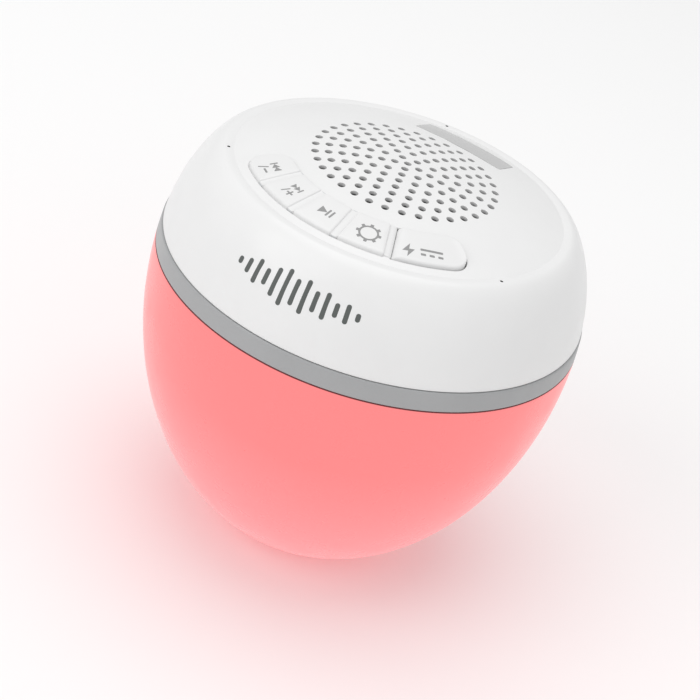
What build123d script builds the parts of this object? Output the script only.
from build123d import *
import os
from math import cos, radians, sin, sqrt

# A round shower speaker: a white top shell with a loudspeaker, keys and a covered
# charging port, a grey ring, and a deep translucent bowl lit from inside.
# Millimetres, +Z up, origin at the centre of the flat underside, front towards -Y.

# ---- outside ----
TOTAL_HEIGHT = 106.0
BODY_RADIUS = 54.7  # of the ellipse that the ring and the bowl follow
BODY_AXIS_HEIGHT = 73.1  # vertical semi-axis of that ellipse
WIDEST_Z = 67.5
BOWL_TOP = 71.8  # joint between bowl and ring
RING_TOP = 76.9  # joint between ring and shell
SHELL_EDGE_RADIUS = 54.0
WALL = 2.4
BOWL_WALL = 2.0
JOINT_CHAMFER = 0.2
DOME_RADIUS = 145.0
DOME_CENTRE_Z = TOTAL_HEIGHT - DOME_RADIUS
CREASE_RADIUS = 41.6
CREST_RADIUS = 43.3
CREST_Z = 100.03
SHELL_SIDE_RADIUS = 54.2
SHELL_SIDE_FOOT = 72.2  # where the curve of the shell's side would end below its joint

# ---- grille: a centre hole and rings of 5, 10, 15 ... holes ----
HOLE_PITCH = 3.24
HOLE_RADIUS = 0.95
HOLE_RINGS = 7
SPOKES = 5
GRILLE_PHASE = -5.7

# ---- key strip: an arc around the grille ----
STRIP_INNER = 28.8
STRIP_OUTER = 39.2
STRIP_START = -143.0
STRIP_END = -39.8
STRIP_CORNER = 4.0
STRIP_MIDDLE_RADIUS = (STRIP_INNER + STRIP_OUTER) / 2
GROOVE_ANGLES = [-125.0, -107.6, -89.2, -70.0]
GROOVE_WIDTH = 1.6
STRIP_RAISE = 0.8
STRIP_GAP = 0.25
KEY_NAMES = ["previous", "next", "play", "light"]
KEY_BOTTOM = DOME_RADIUS - 0.8
KEY_TRAVEL = 0.4
KEY_EDGE = 0.45
STEM_RADIUS = 1.8

# ---- switches and their board ----
BOARD_TOP = 91.2
BOARD_THICKNESS = 1.2
SWITCH_SIDE = 6.0
SWITCH_HEIGHT = 3.4
SWITCH_TIP = 96.0
PLUNGER_RADIUS = 1.7
PLUNGER_BOTTOM = 93.0

# ---- port cover and charging socket ----
COVER_BOTTOM = DOME_RADIUS - 1.4
RECESS_FLOOR = DOME_RADIUS - 1.7
HINGE_LEVEL = DOME_RADIUS - 1.1
HINGE_ROUND = 1.9
HINGE_PIN_RADIUS = 0.55
HINGE_HOLE_RADIUS = 0.6
HINGE_SIDE_ROOM = 0.75  # room below the surface for the cover's ends to swing in
HINGE_PIN_OVERHANG = 1.3
PORT_ANGLE = -54.0
SOCKET_TOP = 98.4
SOCKET_LENGTH = 8.94
SOCKET_WIDTH = 3.26
SOCKET_WALL = 0.3

# ---- indicator window, microphone and vents ----
WINDOW_LENGTH = 25.5
WINDOW_DEPTH = 9.7
WINDOW_CENTRE_RADIUS = 31.8
WINDOW_ANGLE = 84.0
PINHOLE_RADIUS = 0.4
PINHOLE_CIRCLE = 42.9
MICROPHONE_ANGLE = 98.0
VENT_ANGLES = [209.0, 329.0]

# ---- chassis ----
TRAY_TOP = 73.0
TRAY_PLATE = 2.0
TRAY_RADIUS = 50.2
BUCKET_INNER = 36.0
BUCKET_OUTER = 38.0
BUCKET_FLOOR = 48.0
BOSS_CIRCLE = 43.6
BOSS_RADIUS = 2.8
BOSS_ANGLES = [60 * k for k in range(6)]
MAIN_BOARD_RADIUS = 35.6
MAIN_BOARD_TOP = 72.6
MAIN_POSTS = [(20, 22), (-20, 22), (-20, -22), (20, -22)]
BATTERY_RADIUS = 9.15
BATTERY_LENGTH = 65.0
BATTERY_Z = 60.6

# ---- driver ----
GASKET_TOP = 99.0
FLANGE_TOP = 98.3
FLANGE_OUTER = 27.0
FLANGE_INNER = 22.0
DRIVER_SCREW_CIRCLE = 25.4
DRIVER_SCREW_ANGLES = [24 + 90 * k for k in range(4)]
MAGNET_RADIUS = 15.0
COIL_GAP_OUTER = 7.6
POLE_RADIUS = 6.7
PLATE_TOP = 85.0
PLATE_BOTTOM = 82.4
MAGNET_BOTTOM = 76.4
YOKE_BOTTOM = 74.2

# ---- light ring ----
LIGHT_BOARD_TOP = TRAY_TOP - TRAY_PLATE
LIGHT_BOARD_BOTTOM = 69.4
LED_COUNT = 12
LED_CIRCLE = 44.0
LIGHT_SCREW_ANGLES = [30, 150, 270]
LIGHT_LEAD_Y = 42.0

FAR = 200.0  # longer than anything in the model


# ------------------------------------------------------------------ helpers
def polar(radius, angle, z=0.0):
    return Vector(radius * cos(radians(angle)), radius * sin(radians(angle)), z)


def turned(profile):
    """Solid of revolution about Z of a face drawn as (radius, height)."""
    return revolve(Plane.XZ * profile, Axis.Z)


def turned_points(points):
    return turned(make_face(Polyline(*points, close=True)))


def rod(radius, bottom, top, at=(0.0, 0.0)):
    return Pos(at[0], at[1], bottom) * extrude(Circle(radius), top - bottom)


def rod_at(radius, bottom, top, circle, angle):
    centre = polar(circle, angle)
    return rod(radius, bottom, top, (centre.X, centre.Y))


def tube(outer, inner, bottom, top):
    return rod(outer, bottom, top) - rod(inner, bottom - 1, top + 1)


def block(length, width, bottom, top, at=(0.0, 0.0), angle=0.0):
    middle = (bottom + top) / 2
    return Pos(at[0], at[1], middle) * Rot(0, 0, angle) * Box(length, width, top - bottom)


def ball(radius):
    """Ball about the dome's centre, for surfaces that follow the dome."""
    return Pos(0, 0, DOME_CENTRE_Z) * Sphere(radius)


def dome_height(radius, ball_radius=DOME_RADIUS):
    return DOME_CENTRE_Z + sqrt(ball_radius**2 - radius**2)


def column(sketch, bottom=88.0, top=112.0):
    """Upright prism over a plan outline."""
    return extrude(Pos(0, 0, bottom) * sketch, top - bottom)


def sector(inner, outer, start, end):
    """Plan outline of part of a ring."""
    size = end - start
    outer_arc = CenterArc((0, 0), outer, start, size)
    inner_arc = CenterArc((0, 0), inner, start, size)
    first = Line(inner_arc @ 0, outer_arc @ 0)
    last = Line(outer_arc @ 1, inner_arc @ 1)
    return make_face([first, outer_arc, last, inner_arc])


def one(shape):
    """The largest solid, which drops crumbs left by a cut."""
    return max(shape.solids(), key=lambda s: s.volume)


def screw_down(top, head_height, head_radius, shank_radius, length, at):
    """Pan-head screw driven downwards."""
    head = rod(head_radius, top - head_height, top, at)
    shank = rod(shank_radius, top - head_height - length, top - head_height, at)
    depth = head_height * 0.5
    slot = block(head_radius * 1.3, head_radius * 0.35, top - depth, top + 1, at)
    cross = block(head_radius * 0.35, head_radius * 1.3, top - depth, top + 1, at)
    return head + shank - slot - cross


def group(solids):
    return Compound(children=[one(s) for s in solids])


def wire(points, radius, bend):
    """Round lead along straight runs joined by tangent arcs."""
    path = FilletPolyline(*points, radius=bend)
    start = Plane(origin=path @ 0, z_dir=path % 0)
    return sweep(start * Circle(radius), path=path)


# ------------------------------------------------------------ shared outlines
def strip_outline():
    """The whole raised strip, with both ends rounded."""
    face = sector(STRIP_INNER, STRIP_OUTER, STRIP_START, STRIP_END)
    return fillet(face.vertices(), STRIP_CORNER)


def groove_bar(angle, width):
    """Plan rectangle along a radial groove."""
    return Rot(0, 0, angle) * Pos(STRIP_MIDDLE_RADIUS, 0) * Rectangle(40, width)


def side_of_groove(angle, sign):
    """Half plane on one side of a groove: +1 is anticlockwise of it."""
    return Rot(0, 0, angle) * Pos(STRIP_MIDDLE_RADIUS, sign * FAR / 4) * Rectangle(60, FAR / 2)


def strip_part(index, gap):
    """Outline of one segment of the strip, set back by gap from its grooves."""
    face = strip_outline()
    if index > 0:
        previous = GROOVE_ANGLES[index - 1]
        face = face & side_of_groove(previous, 1)
        face = face - groove_bar(previous, 2 * gap)
    if index < len(GROOVE_ANGLES):
        following = GROOVE_ANGLES[index]
        face = face & side_of_groove(following, -1)
        face = face - groove_bar(following, 2 * gap)
    return face


def key_window():
    """Opening in the shell for the four keys."""
    keys = strip_outline() & side_of_groove(GROOVE_ANGLES[-1], -1)
    keys = keys - groove_bar(GROOVE_ANGLES[-1], GROOVE_WIDTH)
    return offset(keys, STRIP_GAP)


def key_angle(index):
    edges = [STRIP_START] + GROOVE_ANGLES
    return (edges[index] + edges[index + 1]) / 2


def port_frame():
    """Place of the charging socket: X along the strip, Y towards the rim."""
    centre = polar(STRIP_MIDDLE_RADIUS, PORT_ANGLE)
    return Pos(centre.X, centre.Y, 0) * Rot(0, 0, PORT_ANGLE - 90)


def hinge_plane():
    """Frame on the cover's hinge: Z along the axis, towards the rim."""
    groove = GROOVE_ANGLES[-1]
    along = polar(1, groove)
    across = polar(1, groove + 90)
    fall = STRIP_MIDDLE_RADIUS / sqrt(HINGE_LEVEL**2 - STRIP_MIDDLE_RADIUS**2)
    level = dome_height(STRIP_MIDDLE_RADIUS, HINGE_LEVEL)
    centre = along * STRIP_MIDDLE_RADIUS + across * (GROOVE_WIDTH / 2 + HINGE_ROUND)
    axis = Vector(along.X, along.Y, -fall).normalized()
    return Plane(origin=(centre.X, centre.Y, level), x_dir=(across.X, across.Y, 0), z_dir=tuple(axis))


def hinge_rod(radius, inner, outer):
    """Rod on the hinge axis between two distances from the middle of the strip."""
    plane = hinge_plane()
    return plane * (Pos(0, 0, inner) * extrude(Circle(radius), outer - inner))


def window_outline(length, depth, corner):
    centre = polar(WINDOW_CENTRE_RADIUS, WINDOW_ANGLE)
    return Pos(centre.X, centre.Y) * Rot(0, 0, WINDOW_ANGLE - 90) * RectangleRounded(length, depth, corner)


def status_place(x):
    """Point on the indicator board's long axis."""
    centre = polar(WINDOW_CENTRE_RADIUS, WINDOW_ANGLE) + polar(x, WINDOW_ANGLE - 90)
    return (centre.X, centre.Y)


def button_posts():
    """Centres of the three posts that carry the button board."""
    return [polar(34, -151.5), polar(43.3, -90), polar(34, -32.5)]


# ------------------------------------------------------------------ housing
def dome_arc(edge, ball_radius):
    """Section of the dome from a given radius up to the axis."""
    middle = (edge / 2, dome_height(edge / 2, ball_radius))
    return ThreePointArc((edge, dome_height(edge, ball_radius)), middle, (0, dome_height(0, ball_radius)))


def shell_outer():
    side = Bezier(
        (SHELL_SIDE_RADIUS, SHELL_SIDE_FOOT),
        (SHELL_SIDE_RADIUS, 87.57),
        (46.94, CREST_Z),
        (CREST_RADIUS, CREST_Z),
    )
    crease_z = dome_height(CREASE_RADIUS)
    bead = ThreePointArc(
        (CREST_RADIUS, CREST_Z),
        ((CREST_RADIUS + CREASE_RADIUS) / 2, (CREST_Z + crease_z) / 2 + 0.05),
        (CREASE_RADIUS, crease_z),
    )
    dome = dome_arc(CREASE_RADIUS, DOME_RADIUS)
    axis = Line((0, TOTAL_HEIGHT), (0, SHELL_SIDE_FOOT))
    base = Line((0, SHELL_SIDE_FOOT), (SHELL_SIDE_RADIUS, SHELL_SIDE_FOOT))
    return turned(make_face([side, bead, dome, axis, base]))


def shell_cavity():
    inner_ball = DOME_RADIUS - WALL
    edge = CREASE_RADIUS - 0.6
    edge_z = dome_height(edge, inner_ball)
    side_radius = 51.6
    straight_top = 81.2
    straight = Line((side_radius, BOWL_TOP), (side_radius, straight_top))
    side = Bezier((side_radius, straight_top), (51.2, 87.5), (45.9, edge_z), (edge, edge_z))
    dome = dome_arc(edge, inner_ball)
    axis = Line((0, DOME_CENTRE_Z + inner_ball), (0, BOWL_TOP))
    base = Line((0, BOWL_TOP), (side_radius, BOWL_TOP))
    return turned(make_face([straight, side, dome, axis, base]))


def grille_holes():
    sketch = Circle(HOLE_RADIUS)
    for ring in range(1, HOLE_RINGS + 1):
        count = SPOKES * ring
        for k in range(count):
            place = polar(ring * HOLE_PITCH, GRILLE_PHASE + 360 * k / count)
            sketch += Pos(place.X, place.Y) * Circle(HOLE_RADIUS)
    return column(sketch, 98)


def make_top_shell():
    driver_ring = tube(FLANGE_OUTER, 23.8, GASKET_TOP, 105)
    port_block = column(sector(27.0, 41.2, GROOVE_ANGLES[-1] - 0.6, STRIP_END + 1.6), 96.5, 104)
    supports = driver_ring + port_block
    for place in button_posts():
        supports += rod(2.2, BOARD_TOP, 105, (place.X, place.Y))
    for x in (-13.4, 13.4):
        supports += rod(1.8, 95.6, 105, status_place(x))
    supports += rod_at(3.6, 94.5, 101, PINHOLE_CIRCLE, MICROPHONE_ANGLE)
    for angle in VENT_ANGLES:
        supports += rod_at(3.2, 95.6, 101, PINHOLE_CIRCLE, angle)
    bosses = [rod_at(BOSS_RADIUS, TRAY_TOP, 101, BOSS_CIRCLE, a) for a in BOSS_ANGLES]
    for boss in bosses:
        supports += boss
    shell = shell_outer() - (shell_cavity() - supports)
    shell -= Pos(0, 0, RING_TOP - FAR / 2) * Box(FAR, FAR, FAR)
    for boss in bosses:
        shell += boss & block(FAR, FAR, 0, RING_TOP + 4)
    # thin shadow line at the joint with the ring
    lip = [
        (SHELL_EDGE_RADIUS - JOINT_CHAMFER, RING_TOP - 1),
        (BODY_RADIUS + 2, RING_TOP - 1),
        (BODY_RADIUS + 2, RING_TOP + JOINT_CHAMFER),
        (SHELL_EDGE_RADIUS + 0.02, RING_TOP + JOINT_CHAMFER),
        (SHELL_EDGE_RADIUS - JOINT_CHAMFER, RING_TOP),
    ]
    shell -= turned_points(lip)
    shell -= grille_holes()
    # keys and port cover
    shell -= column(key_window())
    shell -= port_recess()
    # indicator window with its ledge
    recess = column(window_outline(WINDOW_LENGTH, WINDOW_DEPTH, 0.8))
    shell -= recess - ball(DOME_RADIUS - 1.6)
    shell -= column(window_outline(WINDOW_LENGTH - 3, WINDOW_DEPTH - 3, 0.6))
    # pinholes, with the pockets behind them
    for angle in [MICROPHONE_ANGLE] + VENT_ANGLES:
        shell -= rod_at(PINHOLE_RADIUS, 90, 105, PINHOLE_CIRCLE, angle)
    shell -= rod_at(3.0, 90, 97.0, PINHOLE_CIRCLE, MICROPHONE_ANGLE)
    for angle in VENT_ANGLES:
        shell -= rod_at(2.2, 90, 96.4, PINHOLE_CIRCLE, angle)
    # pilot holes
    for angle in BOSS_ANGLES:
        shell -= rod_at(1.26, 70, 84, BOSS_CIRCLE, angle)
    for angle in DRIVER_SCREW_ANGLES:
        shell -= rod_at(0.92, 95, 101.2, DRIVER_SCREW_CIRCLE, angle)
    for place in button_posts():
        shell -= rod(0.92, 88, 95, (place.X, place.Y))
    for x in (-13.4, 13.4):
        shell -= rod(0.72, 90, 98.4, status_place(x))
    return one(shell)


def port_recess():
    """Pocket for the port cover, its hinge and the socket's mouth."""
    outline = strip_outline() & side_of_groove(GROOVE_ANGLES[-1], 1)
    outline = outline - groove_bar(GROOVE_ANGLES[-1], GROOVE_WIDTH)
    pocket = column(offset(outline, STRIP_GAP)) - ball(RECESS_FLOOR)
    reach = (STRIP_OUTER - STRIP_INNER) / 2
    scoop = hinge_rod(HINGE_ROUND + 0.25, -reach - STRIP_GAP + 0.1, reach + STRIP_GAP - 0.2)
    swing = hinge_rod(HINGE_ROUND + 0.25, -reach - HINGE_SIDE_ROOM, reach + HINGE_SIDE_ROOM)
    scoop += swing & ball(DOME_RADIUS - 0.5)
    pins = hinge_rod(HINGE_HOLE_RADIUS, -reach - HINGE_PIN_OVERHANG - 0.2, reach + HINGE_PIN_OVERHANG + 0.2)
    mouth = port_frame() * Pos(0, 0, 90) * extrude(RectangleRounded(11.6, 6.0, 2.2), 16)
    return pocket + scoop + pins + mouth


def body_radius(z):
    """Radius of the ring's and the bowl's outside at a height."""
    return BODY_RADIUS * sqrt(1 - ((z - WIDEST_Z) / BODY_AXIS_HEIGHT) ** 2)


def make_ring_band():
    inner_flange = 46.6
    tongue = 49.4
    lower_tongue = 50.4
    profile = [
        (inner_flange, TRAY_TOP),
        (inner_flange, TRAY_TOP + 2.2),
        (tongue, TRAY_TOP + 2.2),
        (tongue, 80.9),
        (51.3, 80.9),
        (51.3, 80.1),
        (50.3, 80.1),
        (50.3, 78.3),
        (51.3, 78.3),
        (51.3, RING_TOP),
        (body_radius(RING_TOP) - JOINT_CHAMFER, RING_TOP),
        (body_radius(RING_TOP), RING_TOP - JOINT_CHAMFER),
        (body_radius(BOWL_TOP), BOWL_TOP),
        (52.4, BOWL_TOP),
        (52.4, 70.4),
        (51.4, 70.4),
        (51.4, 68.6),
        (52.4, 68.6),
        (52.4, 66.6),
        (lower_tongue, 66.6),
        (lower_tongue, TRAY_TOP),
    ]
    return turned_points(profile)


def make_light_bowl():
    outer = cut_ellipsoid(BODY_RADIUS, BODY_AXIS_HEIGHT, 0.0)
    inner = cut_ellipsoid(BODY_RADIUS - BOWL_WALL, BODY_AXIS_HEIGHT - BOWL_WALL, BOWL_WALL)
    bowl = outer - inner
    foot = bowl.edges().group_by(Axis.Z)[0]
    return fillet(foot, 2.0)


def cut_ellipsoid(radius, height, floor):
    """Ellipsoid about the widest level, cut flat at the floor and at the joint with the ring."""
    low = WIDEST_Z - height
    high = WIDEST_Z + height
    below = Bezier((0, low), (radius, low), (radius, WIDEST_Z), weights=[1, sqrt(0.5), 1])
    above = Bezier((radius, WIDEST_Z), (radius, high), (0, high), weights=[1, sqrt(0.5), 1])
    axis = Line((0, high), (0, low))
    return turned(make_face([below, above, axis])) & rod(radius + 1, floor, BOWL_TOP)


def make_seal(major, z):
    return Pos(0, 0, z) * Torus(major, 0.6)


def make_grille_mesh():
    return rod(23.6, 90, 110) & (ball(DOME_RADIUS - WALL - 0.05) - ball(DOME_RADIUS - WALL - 0.35))


# ------------------------------------------------------------- window and mic
def make_status_window():
    plate = column(window_outline(WINDOW_LENGTH - 0.16, WINDOW_DEPTH - 0.16, 0.75))
    guide = column(window_outline(WINDOW_LENGTH - 3.4, WINDOW_DEPTH - 3.4, 0.5))
    plate = plate & (ball(DOME_RADIUS - 0.02) - ball(DOME_RADIUS - 1.58))
    guide = guide & (ball(DOME_RADIUS - 1.0) - ball(DOME_RADIUS - 3.2))
    return one(plate + guide)


def make_status_board():
    board = block(31, 7.6, 94.6, 95.6, status_place(0), WINDOW_ANGLE - 90)
    for x in (-13.4, 13.4):
        board -= rod(0.8, 94, 97, status_place(x))
    return board


def make_status_leds():
    places = [status_place(x) for x in (-7.5, -2.5, 2.5, 7.5)]
    return group([block(2.0, 1.25, 95.6, 96.4, at, WINDOW_ANGLE - 90) for at in places])


def make_status_screws():
    solids = []
    for x in (-13.4, 13.4):
        at = status_place(x)
        solids.append(screw_up_at(94.6, 1.0, 1.3, 0.7, 3.5, at))
    return group(solids)


def screw_up_at(seat, head_height, head_radius, shank_radius, length, at):
    """Screw whose head lies below the seat and whose shank goes up."""
    head = rod(head_radius, seat - head_height, seat, at)
    shank = rod(shank_radius, seat, seat + length, at)
    slot = block(head_radius * 1.3, head_radius * 0.35, seat - head_height - 1, seat - head_height / 2, at)
    cross = block(head_radius * 0.35, head_radius * 1.3, seat - head_height - 1, seat - head_height / 2, at)
    return head + shank - slot - cross


def make_microphone_boot():
    boot = rod_at(2.95, 94.7, 96.95, PINHOLE_CIRCLE, MICROPHONE_ANGLE)
    boot -= rod_at(2.05, 94, 96.4, PINHOLE_CIRCLE, MICROPHONE_ANGLE)
    return boot - rod_at(0.6, 94, 98, PINHOLE_CIRCLE, MICROPHONE_ANGLE)


def make_microphone():
    can = rod_at(2.0, 94.9, 96.35, PINHOLE_CIRCLE, MICROPHONE_ANGLE)
    return can - rod_at(0.35, 95.9, 97, PINHOLE_CIRCLE, MICROPHONE_ANGLE)


def make_vent_membranes():
    return group([rod_at(2.1, 96.1, 96.38, PINHOLE_CIRCLE, angle) for angle in VENT_ANGLES])


# ---------------------------------------------------------------------- keys
def make_key(index):
    outline = column(strip_part(index, GROOVE_WIDTH / 2))
    cap = one(outline & (ball(DOME_RADIUS + STRIP_RAISE) - ball(KEY_BOTTOM)))
    top = cap.faces().filter_by(GeomType.SPHERE).sort_by(Axis.Z)[-1]
    cap = chamfer(top.edges(), KEY_EDGE)
    stem = rod_at(STEM_RADIUS, SWITCH_TIP, 102, STRIP_MIDDLE_RADIUS, key_angle(index))
    stem = stem & ball(KEY_BOTTOM + 0.4)
    return one(cap + stem)


def make_switch_plunger(index):
    return rod_at(PLUNGER_RADIUS, PLUNGER_BOTTOM, SWITCH_TIP, STRIP_MIDDLE_RADIUS, key_angle(index))


def make_switch_bodies():
    solids = []
    for index in range(len(KEY_NAMES)):
        angle = key_angle(index)
        centre = polar(STRIP_MIDDLE_RADIUS, angle)
        at = (centre.X, centre.Y)
        body = block(SWITCH_SIDE, SWITCH_SIDE, BOARD_TOP, BOARD_TOP + SWITCH_HEIGHT, at, angle)
        bore = rod(PLUNGER_RADIUS + 0.1, PLUNGER_BOTTOM - KEY_TRAVEL - 0.5, 98, at)
        solids.append(body - bore)
    return group(solids)


def make_keypad_membrane():
    """Rubber sheet below the shell, with a pad and low webs inside the window."""
    under = ball(DOME_RADIUS - WALL - 0.05)
    end = GROOVE_ANGLES[-1] - 1.2
    sheet = column(sector(27.4, 40.5, STRIP_START - 3, end)) & (under - ball(DOME_RADIUS - WALL - 0.85))
    pad = column(offset(key_window(), -0.1)) & (ball(DOME_RADIUS - 1.7) - ball(DOME_RADIUS - WALL - 0.5))
    webs = sheet + pad
    for angle in GROOVE_ANGLES[:-1]:
        web = column(groove_bar(angle, GROOVE_WIDTH - 0.4) & offset(key_window(), -0.1))
        webs += web & (ball(DOME_RADIUS + 0.25) - ball(DOME_RADIUS - WALL - 0.5))
    for index in range(len(KEY_NAMES)):
        webs -= rod_at(STEM_RADIUS + 0.3, 90, 110, STRIP_MIDDLE_RADIUS, key_angle(index))
    return one(webs)


def make_button_board():
    plan = sector(28.2, 40.0, -156, -28)
    lug = polar(43.3, -90)
    plan = plan + Pos(lug.X, lug.Y) * Circle(2.9)
    plan = plan + Pos(0, -40.5) * Rectangle(5.8, 5.6)
    board = column(plan, BOARD_TOP - BOARD_THICKNESS, BOARD_TOP)
    for place in button_posts():
        board -= rod(1.1, 80, 95, (place.X, place.Y))
    return one(board)


def make_button_board_screws():
    seat = BOARD_TOP - BOARD_THICKNESS
    return group([screw_up_at(seat, 1.3, 1.9, 0.9, 4.6, (p.X, p.Y)) for p in button_posts()])


# ---------------------------------------------------------------- port cover
def make_port_cover():
    outline = offset(strip_part(len(GROOVE_ANGLES), GROOVE_WIDTH / 2), -0.1)
    layer = ball(DOME_RADIUS + STRIP_RAISE) - ball(COVER_BOTTOM)
    plate = one(column(outline) & layer)
    top = plate.faces().filter_by(GeomType.SPHERE).sort_by(Axis.Z)[-1]
    plate = chamfer(top.edges(), KEY_EDGE)
    # the hinge edge is round about the pins, so that it turns in its scoop
    reach = FAR / 4
    plane = hinge_plane()
    edge_zone = plane * (Pos(-reach / 2, 0, -reach / 2) * extrude(Rectangle(reach, reach), reach))
    plate = plate - (edge_zone - hinge_rod(HINGE_ROUND, -reach, reach))
    plug = port_frame() * Pos(0, 0, 90) * extrude(RectangleRounded(10.6, 5.0, 1.8), 16)
    plug = plug & (ball(COVER_BOTTOM + 0.3) - ball(COVER_BOTTOM - 1.0))
    half = (STRIP_OUTER - STRIP_INNER) / 2
    pins = hinge_rod(HINGE_PIN_RADIUS, -half - HINGE_PIN_OVERHANG, half + HINGE_PIN_OVERHANG)
    return one(plate + plug + pins)


def make_socket_shell():
    outer = extrude(RectangleRounded(SOCKET_LENGTH, SOCKET_WIDTH, 1.6), SOCKET_TOP - BOARD_TOP)
    inner_size = (SOCKET_LENGTH - 2 * SOCKET_WALL, SOCKET_WIDTH - 2 * SOCKET_WALL)
    inner = Pos(0, 0, 1.2) * extrude(RectangleRounded(*inner_size, 1.3), SOCKET_TOP - BOARD_TOP)
    return port_frame() * Pos(0, 0, BOARD_TOP) * (outer - inner)


def make_socket_tongue():
    height = SOCKET_TOP - BOARD_TOP - 1.2 - 0.6
    return port_frame() * Pos(0, 0, BOARD_TOP + 1.2 + height / 2) * Box(6.7, 0.7, height)


# -------------------------------------------------------------------- driver
def make_driver_gasket():
    ring = tube(FLANGE_OUTER, 23.8, FLANGE_TOP, GASKET_TOP)
    for angle in DRIVER_SCREW_ANGLES:
        ring -= rod_at(1.05, 90, 105, DRIVER_SCREW_CIRCLE, angle)
    return ring


def make_driver_basket():
    profile = [
        (FLANGE_OUTER, FLANGE_TOP),
        (FLANGE_OUTER, FLANGE_TOP - 1.0),
        (23.4, FLANGE_TOP - 1.0),
        (17.8, 88.0),
        (17.8, PLATE_TOP),
        (9.0, PLATE_TOP),
        (9.0, 86.2),
        (14.6, 86.2),
        (14.6, 87.3),
        (16.6, 87.3),
        (16.6, 88.2),
        (FLANGE_INNER, 97.8),
        (FLANGE_INNER, FLANGE_TOP),
    ]
    basket = turned_points(profile)
    for k in range(4):
        angle = 69 + 90 * k
        window = Rot(0, 0, angle) * Pos(20, 0, 92.6) * Box(12, 16, 6.4)
        basket -= window
    for angle in DRIVER_SCREW_ANGLES:
        basket -= rod_at(1.05, 90, 105, DRIVER_SCREW_CIRCLE, angle)
    return one(basket)


def make_driver_screws():
    seat = FLANGE_TOP - 1.0
    places = [polar(DRIVER_SCREW_CIRCLE, a) for a in DRIVER_SCREW_ANGLES]
    return group([screw_up_at(seat, 1.1, 1.5, 0.9, 3.6, (p.X, p.Y)) for p in places])


def make_driver_surround():
    """Rubber half roll between the cone's rim and the basket."""
    middle = 21.0
    roll = Pos(middle, FLANGE_TOP) * (Circle(1.3) - Circle(0.95))
    roll = roll & Pos(middle, FLANGE_TOP + 1) * Rectangle(4, 2)
    inner_lip = Pos(19.25, FLANGE_TOP + 0.175) * Rectangle(1.1, 0.35)
    outer_lip = Pos(22.8, FLANGE_TOP + 0.175) * Rectangle(1.5, 0.35)
    return turned(roll + inner_lip + outer_lip)


def make_driver_cone():
    profile = [
        (7.12, 91.0),
        (7.9, 91.0),
        (19.4, 97.8),
        (19.4, FLANGE_TOP),
        (18.9, FLANGE_TOP),
        (7.75, 91.6),
        (7.12, 91.6),
    ]
    return turned_points(profile)


def make_driver_dust_cap():
    ball_radius = 21.4
    top = 94.05
    skin = Sphere(ball_radius) - Sphere(ball_radius - 0.4)
    return (Pos(0, 0, top - ball_radius) * skin) & block(FAR, FAR, 92.25, FAR)


def make_driver_spider():
    """Corrugated disc that centres the voice coil."""
    waves = 9
    inner = 7.12
    outer = 16.4
    upper = []
    for k in range(waves + 1):
        radius = inner + (outer - inner) * k / waves
        z = 87.65 + (0.45 if k % 2 and k < waves else 0.0)
        upper.append((radius, z))
    lower = [(radius, z - 0.3) for radius, z in reversed(upper)]
    return turned_points(upper + lower)


def make_voice_coil():
    """Thin former with the winding on its lower end."""
    profile = [(6.95, 80.5), (7.4, 80.5), (7.4, 85.5), (7.1, 85.5), (7.1, 91.9), (6.95, 91.9)]
    return turned_points(profile)


def make_driver_top_plate():
    return tube(MAGNET_RADIUS - 0.5, COIL_GAP_OUTER, PLATE_BOTTOM, PLATE_TOP)


def make_driver_magnet():
    return tube(MAGNET_RADIUS, 9.0, MAGNET_BOTTOM, PLATE_BOTTOM)


def make_driver_yoke():
    lower = rod(MAGNET_RADIUS - 0.5, YOKE_BOTTOM, MAGNET_BOTTOM)
    yoke = lower + rod(POLE_RADIUS, MAGNET_BOTTOM - 0.1, PLATE_TOP)
    return yoke - rod(2.0, YOKE_BOTTOM - 1, PLATE_TOP + 1)


def make_driver_terminals():
    """Tag strip on the basket with two solder tags."""
    strip = block(1.2, 8.0, 85.2, 87.9, (-18.6, 0))
    for y in (-2.5, 2.5):
        strip += block(0.9, 1.6, 84.0, 86.5, (-19.5, y))
    return one(strip)


# ------------------------------------------------------------------- chassis
def make_chassis_tray():
    profile = [
        (0, BUCKET_FLOOR),
        (BUCKET_OUTER, BUCKET_FLOOR),
        (BUCKET_OUTER, TRAY_TOP - TRAY_PLATE),
        (TRAY_RADIUS, TRAY_TOP - TRAY_PLATE),
        (TRAY_RADIUS, TRAY_TOP),
        (BUCKET_INNER, TRAY_TOP),
        (BUCKET_INNER, BUCKET_FLOOR + 2),
        (0, BUCKET_FLOOR + 2),
    ]
    tray = turned_points(profile)
    board_bottom = MAIN_BOARD_TOP - 1.6
    for at in MAIN_POSTS:
        tray += rod(2.5, BUCKET_FLOOR + 1, board_bottom, at)
    for at in MAIN_POSTS:
        tray -= rod(0.92, board_bottom - 8, board_bottom + 1, at)
    for angle in BOSS_ANGLES:
        tray -= rod_at(1.5, 70, 74, BOSS_CIRCLE, angle)
    for angle in LIGHT_SCREW_ANGLES:
        tray -= rod_at(0.92, 70, 74, LED_CIRCLE, angle)
    tray -= block(7.0, 2.6, 70, 74, (0, LIGHT_LEAD_Y))
    return one(tray)


def make_chassis_screws():
    seat = TRAY_TOP - TRAY_PLATE
    places = [polar(BOSS_CIRCLE, a) for a in BOSS_ANGLES]
    return group([screw_up_at(seat, 1.6, 2.4, 1.24, 11.0, (p.X, p.Y)) for p in places])


def make_main_board():
    board = rod(MAIN_BOARD_RADIUS, MAIN_BOARD_TOP - 1.6, MAIN_BOARD_TOP)
    for at in MAIN_POSTS:
        board -= rod(1.1, 60, 80, at)
    return board


def make_main_board_screws():
    return group([screw_down(MAIN_BOARD_TOP + 1.3, 1.3, 1.9, 0.9, 7.0, at) for at in MAIN_POSTS])


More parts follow.
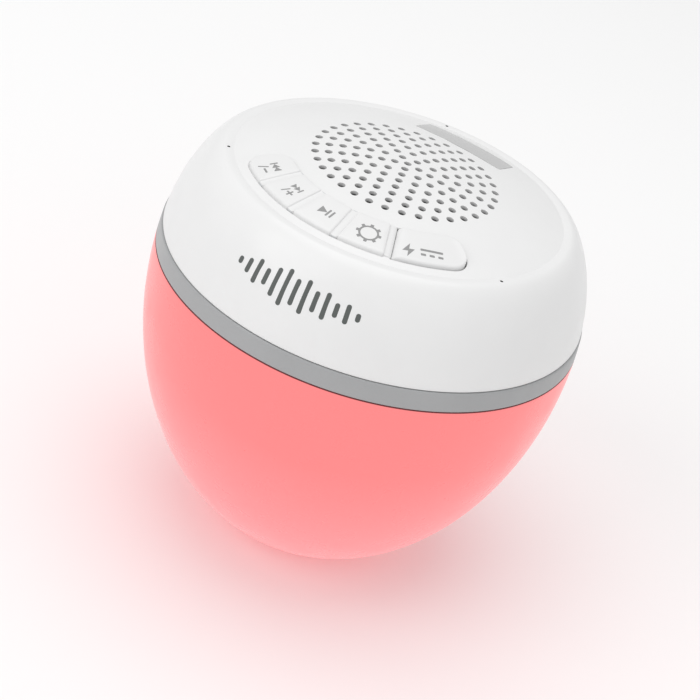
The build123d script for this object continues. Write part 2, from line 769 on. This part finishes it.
def make_amplifier_chip():
    chip = block(7.0, 7.0, MAIN_BOARD_TOP, MAIN_BOARD_TOP + 1.4, (-23, -9))
    return chip - rod(0.4, MAIN_BOARD_TOP + 1.3, MAIN_BOARD_TOP + 2, (-25.7, -6.3))


def make_charge_chip():
    chip = block(5.0, 5.0, MAIN_BOARD_TOP, MAIN_BOARD_TOP + 1.2, (24, -10))
    return chip - rod(0.35, MAIN_BOARD_TOP + 1.1, MAIN_BOARD_TOP + 2, (22.2, -8.2))


def make_wireless_module():
    carrier = block(19, 12.5, MAIN_BOARD_TOP, MAIN_BOARD_TOP + 0.8, (0, 22.2))
    shield = block(13, 10.5, MAIN_BOARD_TOP + 0.8, MAIN_BOARD_TOP + 2.8, (-2.2, 22.2))
    return carrier + shield


def make_power_capacitors():
    return group([rod(3.15, MAIN_BOARD_TOP, MAIN_BOARD_TOP + 8, (x, -24.5)) for x in (-7.5, 0, 7.5)])


def make_power_inductor():
    core = block(7.0, 7.0, MAIN_BOARD_TOP, MAIN_BOARD_TOP + 3.6, (25, 4))
    return fillet(core.edges().filter_by(Axis.Z), 1.5)


def make_board_connectors():
    top = MAIN_BOARD_TOP
    speaker = block(5.0, 7.5, top, top + 5.0, (-28, 3))
    light = block(8.0, 4.4, top, top + 5.0, (0, 32))
    ribbon = block(10.0, 3.0, top, top + 2.4, (0, -32))
    battery = block(8.0, 4.5, 66.0, top - 1.6, (0, -19.75))
    return group([speaker, light, ribbon, battery])


def make_battery_cell():
    """Round cell lying along X, with a raised positive cap."""
    cell = Pos(0, 0, BATTERY_Z) * Rot(0, 90, 0) * Cylinder(BATTERY_RADIUS, BATTERY_LENGTH)
    return fillet(cell.edges().filter_by(GeomType.CIRCLE), 0.6)


def make_battery_tabs():
    """Flat contact strips on the two ends of the cell."""
    x = BATTERY_LENGTH / 2 + 0.15
    return group([Pos(side * x, 0, BATTERY_Z) * Box(0.3, 7, 7) for side in (-1, 1)])


def make_battery_cradle():
    floor = BUCKET_FLOOR + 2
    cradle = block(62, 22, floor, floor + 1.2)
    for x in (-24, 0, 24):
        cradle += block(4, 22, floor + 1, BATTERY_Z - 3, (x, 0))
    clearance = BATTERY_RADIUS + 0.12
    return one(cradle - Pos(0, 0, BATTERY_Z) * Rot(0, 90, 0) * Cylinder(clearance, 80))


def make_battery_leads():
    solids = []
    for side in (-1, 1):
        points = [
            (side * 33.5, -1.5, 61.0),
            (side * 33.5, -8.0, 61.4),
            (side * 31.4, -12.9, 62.6),
            (side * 24.0, -15.6, 65.2),
            (side * 14.0, -19.0, 68.1),
            (side * 8.0, -19.75, 68.5),
            (side * 4.0, -19.75, 68.5),
        ]
        solids.append(wire(points, 0.55, 2.6))
    return group(solids)


def make_speaker_leads():
    solids = []
    for y in (-2.5, 2.5):
        end_y = y / 2 + 3
        points = [
            (-20.45, y, 85.2),
            (-23.0, y, 84.6),
            (-26.6, (y + end_y) / 2, 83.0),
            (-28.0, end_y, 80.4),
            (-28.0, end_y, MAIN_BOARD_TOP + 5.0),
        ]
        solids.append(wire(points, 0.45, 1.6))
    return group(solids)


def make_light_leads():
    solids = []
    for x in (-2.0, 0.0, 2.0):
        points = [
            (x, LIGHT_LEAD_Y, LIGHT_BOARD_TOP),
            (x, LIGHT_LEAD_Y, 76.4),
            (x, 39.4, 80.6),
            (x, 34.6, 81.8),
            (x, 32.0, 80.6),
            (x, 32.0, MAIN_BOARD_TOP + 5.0),
        ]
        solids.append(wire(points, 0.45, 1.8))
    return group(solids)


def make_button_ribbon():
    """Flat flexible strip from the button board down to the main board."""
    path = [(-35.0, 89.7), (-38.6, 89.7), (-38.6, 82.0), (-34.0, 76.6), (-32.0, 75.3)]
    back = [(-35.0, 90.0), (-38.9, 90.0), (-38.9, 81.9), (-34.2, 76.4), (-32.0, 75.0)]
    outline = make_face(Polyline(*path, *reversed(back), close=True))
    return Pos(-4, 0, 0) * extrude(Plane.YZ * outline, 8)


# ---------------------------------------------------------------- light ring
def make_light_board():
    board = tube(48.6, 39.0, LIGHT_BOARD_BOTTOM, LIGHT_BOARD_TOP)
    for angle in BOSS_ANGLES:
        board -= rod_at(3.2, 60, 80, BOSS_CIRCLE, angle)
    for angle in LIGHT_SCREW_ANGLES:
        board -= rod_at(1.1, 60, 80, LED_CIRCLE, angle)
    return board


def make_light_leds():
    solids = []
    for k in range(LED_COUNT):
        angle = 15 + 360 * k / LED_COUNT
        centre = polar(LED_CIRCLE, angle)
        at = (centre.X, centre.Y)
        package = block(5, 5, LIGHT_BOARD_BOTTOM - 1.5, LIGHT_BOARD_BOTTOM, at, angle)
        solids.append(package - rod(1.9, 60, LIGHT_BOARD_BOTTOM - 1.2, at))
    return group(solids)


def make_light_board_screws():
    places = [polar(LED_CIRCLE, a) for a in LIGHT_SCREW_ANGLES]
    return group([screw_up_at(LIGHT_BOARD_BOTTOM, 1.3, 1.9, 0.9, 3.4, (p.X, p.Y)) for p in places])


# --------------------------------------------------------------------- build
def build():
    parts = {
        "top_shell": make_top_shell(),
        "ring_band": make_ring_band(),
        "light_bowl": make_light_bowl(),
        "shell_seal": make_seal(50.95, 79.2),
        "bowl_seal": make_seal(52.03, 69.5),
        "grille_mesh": make_grille_mesh(),
        "status_window": make_status_window(),
        "status_board": make_status_board(),
        "status_leds": make_status_leds(),
        "status_screws": make_status_screws(),
        "microphone": make_microphone(),
        "microphone_boot": make_microphone_boot(),
        "vent_membranes": make_vent_membranes(),
        "keypad_membrane": make_keypad_membrane(),
        "button_board": make_button_board(),
        "switch_bodies": make_switch_bodies(),
        "button_board_screws": make_button_board_screws(),
        "port_cover": make_port_cover(),
        "socket_shell": make_socket_shell(),
        "socket_tongue": make_socket_tongue(),
        "driver_gasket": make_driver_gasket(),
        "driver_basket": make_driver_basket(),
        "driver_screws": make_driver_screws(),
        "driver_surround": make_driver_surround(),
        "driver_cone": make_driver_cone(),
        "driver_dust_cap": make_driver_dust_cap(),
        "driver_spider": make_driver_spider(),
        "voice_coil": make_voice_coil(),
        "driver_top_plate": make_driver_top_plate(),
        "driver_magnet": make_driver_magnet(),
        "driver_yoke": make_driver_yoke(),
        "driver_terminals": make_driver_terminals(),
        "chassis_tray": make_chassis_tray(),
        "chassis_screws": make_chassis_screws(),
        "main_board": make_main_board(),
        "main_board_screws": make_main_board_screws(),
        "amplifier_chip": make_amplifier_chip(),
        "charge_chip": make_charge_chip(),
        "wireless_module": make_wireless_module(),
        "power_capacitors": make_power_capacitors(),
        "power_inductor": make_power_inductor(),
        "board_connectors": make_board_connectors(),
        "battery_cell": make_battery_cell(),
        "battery_tabs": make_battery_tabs(),
        "battery_cradle": make_battery_cradle(),
        "battery_leads": make_battery_leads(),
        "speaker_leads": make_speaker_leads(),
        "light_leads": make_light_leads(),
        "button_ribbon": make_button_ribbon(),
        "light_board": make_light_board(),
        "light_leds": make_light_leds(),
        "light_board_screws": make_light_board_screws(),
    }
    for index, name in enumerate(KEY_NAMES):
        parts["key_" + name] = make_key(index)
        parts["switch_plunger_" + name] = make_switch_plunger(index)
    return parts


if __name__ == "__main__":
    os.makedirs("parts", exist_ok=True)
    for node, shape in build().items():
        export_step(shape, f"parts/{node}.step")
